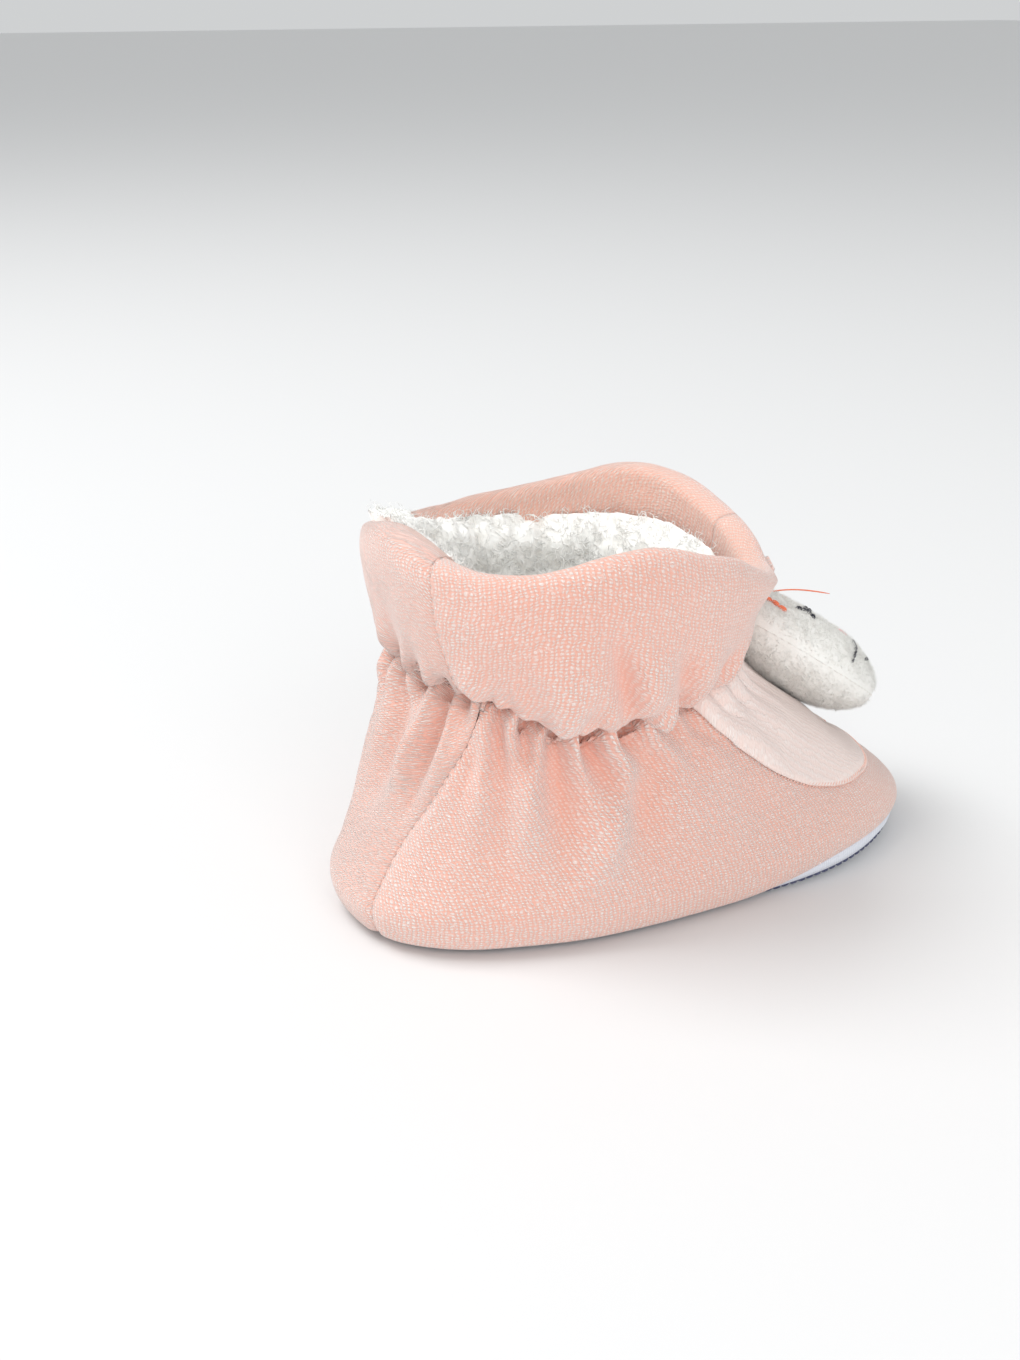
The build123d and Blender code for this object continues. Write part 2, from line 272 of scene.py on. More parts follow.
# ------------------------------------------------------------------ the upper's surface
# One row for each level of the outer cloth, from the sole's edge up the side, into the gathered neck, out
# over the cuff, over the rim and down inside. A row's numbers are its height, its back, its front, and its
# half width at the heel and at the ball.
STATIONS = np.array([
    (0.9, -57.0, 56.6, 26.6, 30.6),
    (2.6, -59.6, 59.2, 28.6, 32.6),
    (8.0, -60.6, 59.2, 29.8, 33.4),
    (14.0, -57.8, 52.0, 29.6, 32.4),
    (20.0, -55.0, 43.0, 28.8, 31.0),
    (26.0, -52.8, 35.6, 28.0, 29.8),
    (33.0, -50.6, 26.4, 27.2, 28.4),
    (38.5, -48.6, 19.2, 26.6, 27.0),
    (43.0, -47.4, 15.8, 25.8, 25.4),
    (45.4, -44.6, 13.6, 23.4, 23.2),
    (44.8, -46.2, 15.4, 27.2, 27.0),
    (47.4, -48.2, 18.4, 31.0, 30.6),
    (53.0, -49.4, 20.6, 33.6, 33.0),
    (61.0, -50.8, 21.8, 34.8, 34.0),
    (68.5, -51.6, 24.0, 35.0, 34.0),
    (73.0, -51.2, 24.0, 34.2, 33.2),
    (75.0, -49.6, 22.6, 32.6, 31.6),
    (74.4, -48.2, 18.2, 31.0, 30.0),
    (70.0, -47.4, 17.4, 30.2, 29.2),
    (60.0, -46.6, 16.6, 29.4, 28.4),
])
SQUARENESS, CUFF_SQUARENESS = 2.4, 2.15

# The rim's height around the opening: high at the heel and at the right side, low over the instep.
RIM_ANGLES = [-180, -151, -134, -119, -105, -94, -82, -68, -57, -40, -22,
              -8, 8, 25, 38, 51, 63, 80, 106, 125, 150]
RIM_HEIGHTS = [75, 72, 71.4, 72.4, 74, 74.4, 72, 69.4, 66, 62.5, 61,
               64, 67.4, 70.8, 71.8, 71, 69, 67, 66.6, 67.2, 71]
# The seam up the heel leans to the right as it climbs, by these degrees at these stations.
SEAM_ROWS = [0, 2, 4, 6, 7, 9, 10, 12, 16, 19]
SEAM_LEAN = [13, 13, 15, 28, 34, 38, 30, 24, 22, 22]
# The neck is higher at the heel than at the sides.
NECK_ANGLES = [-180, -150, -135, -115, -85, -55, -25, 25, 55, 85, 115, 135, 150]
NECK_RISE = [3.4, 3.0, 1.0, -2.8, -4.0, -2.2, -0.5, -0.5, -1.2, -1.6, -1.0, 1.5, 3.2]
# At the heel the rim rolls outward, so that more of the facing shows.
ROLL_ANGLES = [-180, -165, -150, -138, -120, -60, 0, 60, 100, 122, 136, 150, 165]
ROLL = [1, 0.9, 0.5, 0.15, 0, 0, 0, 0, 0.1, 0.3, 0.8, 1, 1]
ROLL_IN, ROLL_DOWN = 5.5, 2.6
# The head presses the cuff in behind it: how deep, and over how many degrees either side of the middle.
PRESS_DEPTH, PRESS_ANGLE = 5.0, 38
BAND_HEIGHT, TOE_LIFT = 2.3, 1.0  # the sole's pale band at the toe, and how far the toe is off the floor


def level(rows, theta, inset=0.0):
    """Points of the smooth form at station numbers rows and angles theta, moved in by inset."""
    height, back, front, heel, ball = np.moveaxis(through(np.arange(len(STATIONS)), STATIONS, rows), -1, 0)
    lean = np.radians(through(SEAM_ROWS, SEAM_LEAN, rows))
    turned = theta + lean * smooth(1.6, PI, np.abs(theta))
    rolled = around(ROLL_ANGLES, ROLL, turned) * smooth(15, 18, rows)
    c, s = np.cos(turned), np.sin(turned)
    inset = inset + ROLL_IN * rolled
    pressed = smooth(9.2, 10.4, rows) * (1 - smooth(12, 14.5, rows))
    inset = inset + PRESS_DEPTH * np.exp(-((np.degrees(turned) / PRESS_ANGLE) ** 2)) * pressed
    half_width = heel + (ball - heel) * (1 + c) / 2 - inset
    half_length = (front - back) / 2 - inset
    squareness = SQUARENESS + (CUFF_SQUARENESS - SQUARENESS) * smooth(8.5, 11, rows)
    x = (back + front) / 2 + half_length * np.sign(c) * np.abs(c) ** (2 / squareness)
    y = half_width * np.sign(s) * np.abs(s) ** (2 / squareness)
    at_neck = smooth(5.5, 9, rows) * (1 - smooth(10, 14, rows))
    at_rim = smooth(11, 15.5, rows)
    height = height + around(NECK_ANGLES, NECK_RISE, turned) * at_neck - ROLL_DOWN * rolled
    height = height + (around(RIM_ANGLES, RIM_HEIGHTS, turned) - RIM_HEIGHTS[0]) * at_rim
    lifted = (toe_lift(x) + BAND_HEIGHT * at_band(x)) * (1 - smooth(0.6, 2.2, rows))
    return np.stack([x * ALONG, y, (height + lifted) * UP], axis=-1)


def toe_lift(x):
    """How far the sole curls up off the floor at the toe."""
    return TOE_LIFT * smooth(15, 60, x)


def at_band(x):
    """0 to 1 where the sole's cloth comes up around the toe as a band."""
    return smooth(4, 34, x)


def wrapped(angle):
    """The same angle, between -PI and PI."""
    return (angle + PI) % (2 * PI) - PI


ANGLES, LEVELS = 1441, 520
NECK_STATION = 9.6
angles = np.linspace(-PI, PI, ANGLES)
# Rows are closer together where the cloth turns.
levels = through([0, 0.05, 0.34, 0.47, 0.58, 0.66, 0.80, 0.92, 1.0], [0, 1, 7, 9, 11, 12.6, 15, 17, 19],
                 np.linspace(0, 1, LEVELS))
THETA, ROWS = np.meshgrid(angles, levels, indexing="ij")
base = level(ROWS, THETA)


def closed_normals(points):
    """Normals of a grid whose first and last columns meet."""
    n = grid_normals(np.concatenate([points[-2:-1], points, points[1:2]]))[1:-1]
    return unit(n)


base_normals = closed_normals(base)

steps_up = np.linalg.norm(np.diff(base, axis=1), axis=-1)
UP_CLOTH = np.concatenate([np.zeros((ANGLES, 1)), np.cumsum(steps_up, axis=1)], axis=1)
neck_index = int(np.argmin(np.abs(levels - NECK_STATION)))
FROM_NECK = UP_CLOTH - UP_CLOTH[:, neck_index:neck_index + 1]
steps_round = np.linalg.norm(np.diff(base, axis=0), axis=-1)
ROUND_CLOTH = np.concatenate([np.zeros((1, LEVELS)), np.cumsum(steps_round, axis=0)], axis=0)
ROUND_CLOTH = ROUND_CLOTH - ROUND_CLOTH[ANGLES // 4]
lean_here = np.radians(through(SEAM_ROWS, SEAM_LEAN, ROWS))
REAL_ANGLE = wrapped(THETA + lean_here * smooth(1.6, PI, np.abs(THETA)))

# Broad folds: angle, how far above the neck its middle is, half its length, half its width, its height,
# and how many degrees it leans for each millimetre up.
BROAD_FOLDS = [
    (-98, -16, 14, 2.2, 3.4, 0.8),
    (-107, -12, 10, 4.2, -2.6, 0.6),
    (-91, -12, 10, 2.2, -2.8, 0.6),
    (-124, -8, 7, 4.0, -2.6, 0.2),
    (-132, -15, 11, 4.0, 1.6, -0.4),
    (-149, -9, 8, 4.5, -3.2, -0.6),
    (-164, -8, 9, 4.0, -1.8, 0.0),
    (-78, -10, 10, 2.6, -1.8, 0.6),
    (-70, -12, 10, 3.2, 1.0, 0.4),
    (-99, 11, 11, 1.8, -4.2, -0.5),
    (-80, 8, 9, 1.8, -3.6, -0.5),
    (-89, 8, 9, 3.0, 1.8, -0.5),
    (-112, 8, 9, 5.0, 1.6, -0.3),
    (-128, 6, 7, 2.4, -1.4, -0.3),
    (-60, 8, 9, 3.0, -1.4, 0.5),
    (120, -10, 10, 4.0, -2.4, 0.3),
    (95, -12, 12, 3.5, 2.0, 0.0),
    (80, -9, 9, 3.5, -2.2, 0.0),
    (145, -9, 8, 4.5, -2.4, 0.3),
    (100, 9, 10, 2.4, -2.4, 0.2),
    (74, 9, 9, 2.4, -1.8, -0.4),
    (132, 9, 9, 2.6, -1.9, 0.3),
]
NECK_RADIUS = 28.0
# Two rings of gathers: how many, least and most depth, half width at the neck, least and most reach below
# the neck and above it, and their share of that depth on the cuff.
GATHER_RINGS = [
    (25, 2.2, 4.8, 1.0, 11.0, 26.0, 6.0, 14.0, 0.75),
    (43, 1.2, 2.8, 0.7, 6.0, 15.0, 3.0, 8.0, 0.25),
]
DEEPEST = 4.4  # no fold is deeper than the cloth can sink without meeting the elastic


def neck_folds():
    """How far the cloth stands out of or sinks into the smooth form, from its gathers and broad folds."""
    depth = np.zeros_like(THETA)
    rng = np.random.default_rng(12)
    for count, least, most, width, down0, down1, up0, up1, above in GATHER_RINGS:
        for number in range(count):
            place = (number + rng.uniform(-0.36, 0.36)) * 2 * PI / count
            deep, lean = rng.uniform(least, most), rng.uniform(-0.35, 0.35)
            down, up = rng.uniform(down0, down1), rng.uniform(up0, up1)
            far = np.abs(FROM_NECK) / np.where(FROM_NECK < 0, down, up)
            turn = wrapped(REAL_ANGLE - place - np.radians(lean * FROM_NECK))
            across = turn * NECK_RADIUS / (width * (1 + 1.1 * far))
            valley = np.exp(-np.abs(across) ** 1.4) - 0.5 * np.exp(-((np.abs(across) - 2.0) ** 2) / 0.8)
            depth -= deep * valley * np.exp(-(far**1.7)) * np.where(FROM_NECK > 0, above, 1)
    for degrees, middle, half_length, half_width, height, lean in BROAD_FOLDS:
        along = (FROM_NECK - middle) / half_length
        turn = wrapped(REAL_ANGLE - np.radians(degrees + lean * (FROM_NECK - middle)))
        across = turn * NECK_RADIUS / half_width
        depth += height * np.exp(-(across**2)) * np.exp(-(np.abs(along) ** 2.6))
    depth = np.where(depth < 0, -DEEPEST * np.tanh(-depth / DEEPEST), depth)
    depth *= 0.3 + 0.7 * smooth(0.5, 4.0, np.abs(FROM_NECK))
    # The patch holds the instep's cloth nearly flat.
    depth *= 1 - 0.8 * (1 - smooth(0.9, 1.35, np.abs(REAL_ANGLE))) * (FROM_NECK < 0)
    # The thick seam at the heel keeps the cloth flatter beside it.
    return depth * (1 - 0.75 * np.exp(-(((PI - np.abs(THETA)) * NECK_RADIUS / 3.0) ** 2)))


SEAM_DEPTH, TOE_SEAM_DEPTH, SEAM_WIDTH = 0.55, 0.6, 0.9
from_back_seam = (PI - np.abs(THETA)) * NECK_RADIUS
from_toe_seam = np.abs(THETA) * NECK_RADIUS
fold_depth = neck_folds()
# 0 in the deepest folds, where the pile parts and painted shade falls, and 1 on the ridges, as a painted
# highlight. The cuff gets a band of painted shade, and the heel a painted highlight.
painted_pile_shade = 0.72 + fold_depth / 5.5 - 0.14 * smooth(10, 12, ROWS) * (1 - smooth(14, 15.6, ROWS))
painted_pile_shade = np.clip(painted_pile_shade + 0.2 * smooth(2.3, 2.9, np.abs(REAL_ANGLE)), 0, 1)
soft_waves = 0.6 * noise(base, 22, seed=3) + 0.16 * noise(base, 6, seed=9)
back_groove = SEAM_DEPTH * np.exp(-((from_back_seam / SEAM_WIDTH) ** 2)) * (1 - 0.6 * smooth(9, 11, ROWS))
bulk = fold_depth + soft_waves * smooth(0.5, 3, ROWS) - back_groove
bulk -= TOE_SEAM_DEPTH * np.exp(-((from_toe_seam / SEAM_WIDTH) ** 2)) * (1 - smooth(7, 9, ROWS))
skin = base + base_normals * bulk[..., None]
skin_normals = closed_normals(skin)


def on_skin(theta, rows, lift=0.0):
    """Points of the finished outer cloth, raised by lift, and the cloth's normals there."""
    i = np.clip((np.asarray(theta) + PI) / (2 * PI) * (ANGLES - 1), 0, ANGLES - 1.001)
    j = np.clip(np.interp(rows, levels, np.arange(LEVELS)), 0, LEVELS - 1.001)
    i, j = np.broadcast_arrays(i, j)
    i0, j0 = i.astype(int), j.astype(int)
    fi, fj = (i - i0)[..., None], (j - j0)[..., None]

    def between(grid):
        return (grid[i0, j0] * (1 - fi) + grid[i0 + 1, j0] * fi) * (1 - fj) + (
            grid[i0, j0 + 1] * (1 - fi) + grid[i0 + 1, j0 + 1] * fi
        ) * fj

    normals = unit(between(skin_normals))
    return between(skin) + normals * np.broadcast_to(lift, i.shape)[..., None], normals


# ------------------------------------------------------------------ materials
class Nodes:
    """A material's nodes, made with few words."""

    def __init__(self, name, roughness=0.9, sheen=0.0, sheen_roughness=0.5, sheen_tint=(1, 1, 1),
                 specular=0.2):
        self.material = bpy.data.materials.new(name)
        self.material.use_nodes = True
        self.tree = self.material.node_tree
        self.shader = self.tree.nodes["Principled BSDF"]
        self.set(self.shader, "Roughness", roughness)
        self.set(self.shader, "Specular IOR Level", specular)
        self.set(self.shader, "Sheen Weight", sheen)
        self.set(self.shader, "Sheen Roughness", sheen_roughness)
        self.set(self.shader, "Sheen Tint", (*sheen_tint, 1))

    def set(self, node, socket, value):
        if isinstance(value, bpy.types.NodeSocket):
            self.tree.links.new(value, node.inputs[socket])
        else:
            node.inputs[socket].default_value = value

    def node(self, kind, inputs, output=0, settings=None):
        made = self.tree.nodes.new(kind)
        for key, value in (settings or {}).items():
            setattr(made, key, value)
        for socket, value in inputs.items():
            self.set(made, socket, value)
        return made.outputs[output]

    def math(self, operation, a, b=0.0):
        return self.node("ShaderNodeMath", {0: a, 1: b}, settings={"operation": operation})

    def vector(self, operation, a, b):
        socket = "Scale" if operation == "SCALE" else 1
        return self.node("ShaderNodeVectorMath", {0: a, socket: b}, settings={"operation": operation})

    def cloth(self):
        """The cloth's own coordinates in millimetres, around and up."""
        return self.node("ShaderNodeUVMap", {}, settings={"uv_map": "Cloth"})

    def place(self):
        """The place on the object, in millimetres."""
        return self.vector("SCALE", self.node("ShaderNodeTexCoord", {}, output=3), 1 / MM)

    def parts(self, vector):
        split = self.tree.nodes.new("ShaderNodeSeparateXYZ")
        self.tree.links.new(vector, split.inputs[0])
        return split.outputs

    def noise(self, vector, size, detail=3.0, output=0):
        inputs = {"Vector": vector, "Scale": 1 / size, "Detail": detail}
        return self.node("ShaderNodeTexNoise", inputs, output)

    def shade(self):
        return self.node("ShaderNodeAttribute", {}, output=2, settings={"attribute_name": "shade"})

    def mix(self, share, a, b):
        made = self.tree.nodes.new("ShaderNodeMix")
        made.data_type = "RGBA"
        for socket, value in zip((made.inputs[0], made.inputs[6], made.inputs[7]), (share, a, b)):
            if isinstance(value, bpy.types.NodeSocket):
                self.tree.links.new(value, socket)
            else:
                socket.default_value = (*value, 1) if isinstance(value, tuple) else value
        return made.outputs[2]

    def between(self, value, low, high, to_low=0.0, to_high=1.0):
        return self.node("ShaderNodeMapRange", {0: value, 1: low, 2: high, 3: to_low, 4: to_high})

    def bump(self, height, distance, strength=1.0):
        self.set(self.shader, "Normal", self.node(
            "ShaderNodeBump", {"Height": height, "Distance": distance * MM, "Strength": strength}))

    def colour(self, value):
        self.set(self.shader, "Base Color", value)
        return self.material


def rgb(red, green, blue):
    """A colour given in the usual 0 to 255 steps."""
    return tuple(v / 255 / 12.92 if v / 255 <= 0.04045 else ((v / 255 + 0.055) / 1.055) ** 2.4
                 for v in (red, green, blue))


def velour(name, gap, tip, pitch=0.86, rib=0.2, pale=0.55):
    """Knitted velour: short pale pile in uneven rows, with the ground's deeper colour between them.

    Seen along its surface, the pile is painted paler, as a painted sheen.
    """
    n = Nodes(name, roughness=0.95, sheen=0.5, sheen_roughness=0.4, sheen_tint=rgb(255, 240, 234),
              specular=0.1)
    cloth = n.cloth()
    wander = n.vector("SUBTRACT", n.noise(cloth, 1.6, 3, output=1), (0.5, 0.5, 0.5))
    moved = n.parts(n.vector("ADD", cloth, n.vector("SCALE", wander, 1.5)))
    wales = n.between(n.math("SINE", n.math("MULTIPLY", moved[0], 2 * PI / pitch)), -0.95, 0.5)
    courses = n.between(n.math("SINE", n.math("MULTIPLY", moved[1], 2 * PI / (0.72 * pitch))), -1.0, 0.2)
    fine, clumps = n.noise(cloth, 0.26, 3), n.noise(cloth, 0.9, 3)
    squares = n.math("MULTIPLY", n.math("MAXIMUM", wales, rib), n.math("MAXIMUM", courses, 1.3 * rib))
    squares = n.math("MAXIMUM", squares, n.between(clumps, 0.52, 0.8))
    pile = n.math("MULTIPLY", squares, n.between(fine, 0.25, 0.62, 0.35, 1.0))
    pile = n.math("MULTIPLY", pile, n.between(n.noise(cloth, 7.0, 3), 0.3, 0.7, 0.85, 1.12))
    # The mesh's shade scales the pile: painted shade in the folds and on the cuff, painted highlights on
    # the ridges and at the heel.
    pile = n.math("MULTIPLY", pile, n.between(n.shade(), 0.0, 1.0, 0.3, 1.25))
    n.bump(pile, 0.28, 0.85)
    # Painted sheen: the colour turns pale at grazing angles, by the share pale.
    grazing = n.node("ShaderNodeLayerWeight", {"Blend": 0.35}, output=1)
    return n.colour(n.mix(n.math("MULTIPLY", grazing, pale), n.mix(pile, gap, tip), rgb(250, 240, 236)))


def pile_cloth(name, low, high, bump=0.25, size=0.5, sheen=0.3):
    """Brushed or woolly pile, with painted shade: its roots darker than its tips, as the mesh's shade says.
    """
    n = Nodes(name, roughness=0.95, sheen=sheen, specular=0.1)
    fine = n.noise(n.place(), size, 4)
    n.bump(fine, bump, 0.8)
    # Painted shade: where the mesh's shade is low, the colour goes towards low.
    deep, speckled = n.between(n.shade(), 0.0, 1.0, 0.2, 1.0), n.between(fine, 0.25, 0.65, 0.75, 1.0)
    share = n.math("MULTIPLY", deep, speckled)
    return n.colour(n.mix(share, low, high))


def thread(name, colour, deep):
    """Twisted thread: fine strands."""
    n = Nodes(name, roughness=0.55, sheen=0.2, specular=0.3)
    strands = n.noise(n.place(), 0.18, 2)
    n.bump(strands, 0.05, 0.7)
    return n.colour(n.mix(n.between(strands, 0.3, 0.7), deep, colour))


def woven(name, colour, deep, pitch=0.5):
    """Plain woven or pressed cloth."""
    n = Nodes(name, roughness=0.9, sheen=0.2, specular=0.2)
    place = n.place()
    x, y, _ = n.parts(place)
    over = n.math("SINE", n.math("MULTIPLY", x, 2 * PI / pitch))
    under = n.math("SINE", n.math("MULTIPLY", y, 2 * PI / pitch))
    weave = n.between(n.math("MULTIPLY", over, under), -1.0, 1.0)
    weave = n.math("MULTIPLY", weave, n.between(n.noise(place, 0.8, 3), 0.3, 0.7, 0.6, 1.0))
    n.bump(weave, 0.08, 0.8)
    return n.colour(n.mix(weave, deep, colour))


def rubber(name, colour, deep):
    n = Nodes(name, roughness=0.5, specular=0.4)
    grain = n.noise(n.place(), 0.4, 3)
    n.bump(grain, 0.05, 0.5)
    return n.colour(n.mix(grain, deep, colour))


# Each velour's pale is its share of painted sheen at grazing angles.
VELOUR = velour("pink_velour", rgb(230, 166, 146), rgb(255, 246, 241))
FACING = velour("facing_velour", rgb(232, 166, 144), rgb(254, 236, 226), rib=0.4, pale=0.35)
PATCH = velour("patch_velour", rgb(238, 208, 198), rgb(253, 242, 237), rib=0.6)
SHERPA = pile_cloth("sherpa", rgb(252, 246, 236), rgb(255, 255, 252), bump=0.1, size=1.0)
PLUSH = pile_cloth("white_plush", rgb(226, 222, 214), rgb(246, 245, 241), bump=0.15, size=0.45)
STUFFING = pile_cloth("stuffing", rgb(220, 220, 218), rgb(248, 248, 246))
SOLE_CLOTH = woven("sole_cloth", rgb(236, 239, 246), rgb(214, 218, 228))
FELT = woven("sole_felt", rgb(232, 232, 230), rgb(210, 210, 208), pitch=0.9)
ELASTIC = woven("elastic_band", rgb(240, 240, 236), rgb(206, 206, 200), pitch=0.7)
THREADS = {slot: thread(slot, rgb(*colour), rgb(*deep)) for slot, colour, deep in (
    ("pink_thread", (248, 214, 202), (232, 180, 164)),
    ("white_thread", (244, 242, 238), (220, 216, 208)),
    ("navy_thread", (84, 88, 122), (46, 48, 74)),
    ("black_thread", (52, 54, 66), (26, 27, 34)),
    ("nose_thread", (236, 160, 158), (214, 124, 126)),
    ("orange_thread", (250, 142, 104), (226, 104, 70)),
)}
DOT_RUBBER = rubber("dot_rubber", rgb(240, 240, 240), rgb(220, 220, 222))


# ------------------------------------------------------------------ the velour upper
BODY, HEAD = "bootie", "head"
CLOTH_THICKNESS = 0.9
FACING_ROW = 16.2  # above this station the cloth is the facing


def upper_half(name, first, last, step=4):
    """One half of the velour, from the sole's edge over the rim to the facing's lower edge."""
    columns = np.arange(first, last + 1, step)
    up = np.arange(0, LEVELS, 2)
    points = skin[np.ix_(columns, up)]
    uv = np.stack([ROUND_CLOTH[np.ix_(columns, up)], UP_CLOTH[np.ix_(columns, up)]], axis=-1)
    row_of_face = np.tile(levels[up][:-1], len(columns) - 1)
    obj = new_piece(
        name, points.reshape(-1, 3), [grid_faces(len(columns), len(up), flip=True)], [VELOUR, FACING], BODY,
        uv=uv.reshape(-1, 2), face_materials=(row_of_face > FACING_ROW).astype(int),
        # shades: the painted shade and painted highlights worked out above.
        shades=painted_pile_shade[np.ix_(columns, up)].ravel(),
    )
    thicken(obj, CLOTH_THICKNESS, offset=-1)
    return obj


for name, node, first, last in (("upper_right_cloth", "upper_right", 0, ANGLES // 2),
                                ("upper_left_cloth", "upper_left", ANGLES // 2, ANGLES - 1)):
    cloth_half = upper_half(name, first, last)
    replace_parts(cloth_half, node)


# ------------------------------------------------------------------ the pile lining
LINING_DEPTH, NECK_DEPTH = 5.9, 1.9
# The pile runs from one station to near another; up there a station is this many millimetres high.
LINING_FOOT, RIM_STATION, STATION_HEIGHT = 1.9, 15.4, 6.2
# How far the pile's upper edge comes out: everywhere, more where it spills, and more where the rim rolls.
EDGE_OUT, SPILL_OUT, ROLLED_OUT = 2.6, 4.4, 3.0
OVERLAP = 0.03  # how far past each seam a half of the lining runs, as an angle
# How far below the rim the pile starts, around the opening. At the left of the heel it spills out over it.
PILE_ANGLES = [-180, -150, -120, -60, 0, 60, 80, 95, 108, 118, 128, 140, 160]
PILE_DROP = [4, 6, 10, 12, 12, 12, 10, 8, 6, 3, -1, -2, 1]
PILE_SPILL = [0.2, 0, 0, 0, 0, 0, 0, 0, 0.1, 0.4, 1.0, 1.0, 0.4]


def tufted(points):
    """The woolly pile's height above its cloth."""
    tufts = lumps(points, 4.8, seed=5) * 2.2 + lumps(points, 2.3, seed=8) * 0.9
    return tufts + 0.3 * noise(points, 0.9, seed=2)


def pile_half(name, first, last, seed):
    """One half of the pile lining, from the footbed to below the rim, and its loose fibres."""
    t, k = np.meshgrid(np.linspace(first, last, 230), np.linspace(0, 1, 190), indexing="ij")
    real = wrapped(t + np.radians(22) * smooth(1.6, PI, np.abs(t)))
    drop, spill = around(PILE_ANGLES, PILE_DROP, real), around(PILE_ANGLES, PILE_SPILL, real)
    rolled = around(ROLL_ANGLES, ROLL, real)
    top = RIM_STATION - drop / STATION_HEIGHT
    r = LINING_FOOT + (top - LINING_FOOT) * k
    edge = smooth(0.93, 1.0, k)
    spill = spill * smooth(0.6, 0.95, k)
    # It lies deeper at the neck, clear of the folds.
    inset = (LINING_DEPTH + NECK_DEPTH * smooth(5.5, 7.5, r) * (1 - smooth(13, 14.5, r))
             + ROLL_IN * rolled * smooth(10.5, 12.5, r) * (1 - 0.75 * spill)
             - EDGE_OUT * edge - SPILL_OUT * spill * edge - ROLLED_OUT * rolled * smooth(0.85, 1.0, k))
    points = level(r, t, inset=inset)
    normals = -grid_normals(points)
    tuft = tufted(points)
    # Painted shade: the pile is darker between its tufts than on them.
    shade = np.clip(tuft / 2.2, 0, 1)
    points = points + normals * (tuft - 0.4)[..., None]
    pile = new_piece(name + "_pile", points.reshape(-1, 3), [grid_faces(*t.shape)], [SHERPA], BODY,
                     shades=shade.ravel())
    rng = np.random.default_rng(seed)
    # The fibres grow only where they can be seen, from the neck up.
    a, b = rng.integers(1, t.shape[0] - 1, 9000), rng.integers(70, t.shape[1] - 1, 9000)
    heap = Heap()
    fibres(heap, points[a, b], normals[a, b], 1.3, 0.12, seed, curl=1.7, lean=1.2)
    tufts = heap.piece(name + "_fibres", SHERPA, BODY)
    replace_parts(pile, name)


pile_half("lining_right", -PI - OVERLAP, OVERLAP, 21)
pile_half("lining_left", -OVERLAP, PI + OVERLAP, 22)


# ------------------------------------------------------------------ the sole
def disc(row, inset, height, rings, edge, flip, heap, shade=0.0, relief=None, columns=240):
    """A level surface out to one station's outline, moved in by inset.

    edge adds rings beyond its rim: how far out, how far up, and how much more of each at the toe.
    """
    t = np.linspace(-PI, PI, columns, endpoint=False)
    rim = level(np.full_like(t, row), t, inset=inset)
    middle = rim.mean(axis=0)
    k = np.linspace(0, 1, rings)[:, None, None]
    grid = middle + (rim - middle)[None] * k
    grid[..., 2] = height + toe_lift(grid[..., 0])
    if relief is not None:
        grid[..., 2] += relief(grid)
    shades = np.broadcast_to(np.asarray(shade(grid) if callable(shade) else shade), grid.shape[:-1])
    for beyond, rise, toe_beyond, toe_rise in edge:
        band = at_band(rim[:, 0])
        ring = level(np.full_like(t, row), t, inset=inset - beyond - toe_beyond * band)
        ring[:, 2] = height + rise + toe_rise * band + toe_lift(ring[:, 0])
        grid = np.concatenate([grid, ring[None]])
        shades = np.concatenate([shades, shades[-1:]])
    heap.add(grid, [grid_faces(len(grid), columns, closed=True, flip=flip)], shade=shades)


OUTSOLE_LOW, OUTSOLE_HIGH = SOLE_LOW[2], SOLE_HIGH[2]
SOLE_EDGE = 1.0
heap = Heap()
SOLE_BAND = [(0.5, 0.1, 1.0, 0), (0.9, 0.4, 2.1, 0.4), (1.1, 0.9, 2.7, 1.2), (1.0, 1.4, 2.8, 2.2),
             (0.4, 1.7, 2.3, 2.9)]
disc(0, SOLE_EDGE + 0.6, OUTSOLE_LOW, 40, SOLE_BAND, False, heap)
disc(0, SOLE_EDGE + 0.6, OUTSOLE_HIGH, 10, [(0.6, 0.08, 0, 0)], True, heap)
outsole_cloth = heap.piece("outsole_cloth", SOLE_CLOTH, BODY)
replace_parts(outsole_cloth, "outsole")

heap = Heap()
disc(2, 9.0, OUTSOLE_HIGH + 0.3, 6, [(0.4, 0.4, 0, 0), (0.4, 2.2, 0, 0)], False, heap)
disc(2, 9.0, OUTSOLE_HIGH + 2.7, 6, [(0.4, -0.2, 0, 0)], True, heap)
sole_felt = heap.piece("sole_felt_pad", FELT, BODY)
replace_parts(sole_felt, "sole_pad")

heap = Heap()
# Its shade is painted shade, darker between the tufts.
disc(2, 6.6, FOOTBED_HIGH[2] - 1.2, 120, [(0.3, -2.0, 0, 0)], True, heap, columns=420,
     shade=lambda p: np.clip(tufted(p) / 2.2, 0, 1), relief=tufted)
disc(2, 6.6, FOOTBED_LOW[2], 8, [(0.2, 0.4, 0, 0)], False, heap, columns=420)
footbed_pile = heap.piece("footbed_pile", SHERPA, BODY)
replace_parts(footbed_pile, "footbed")

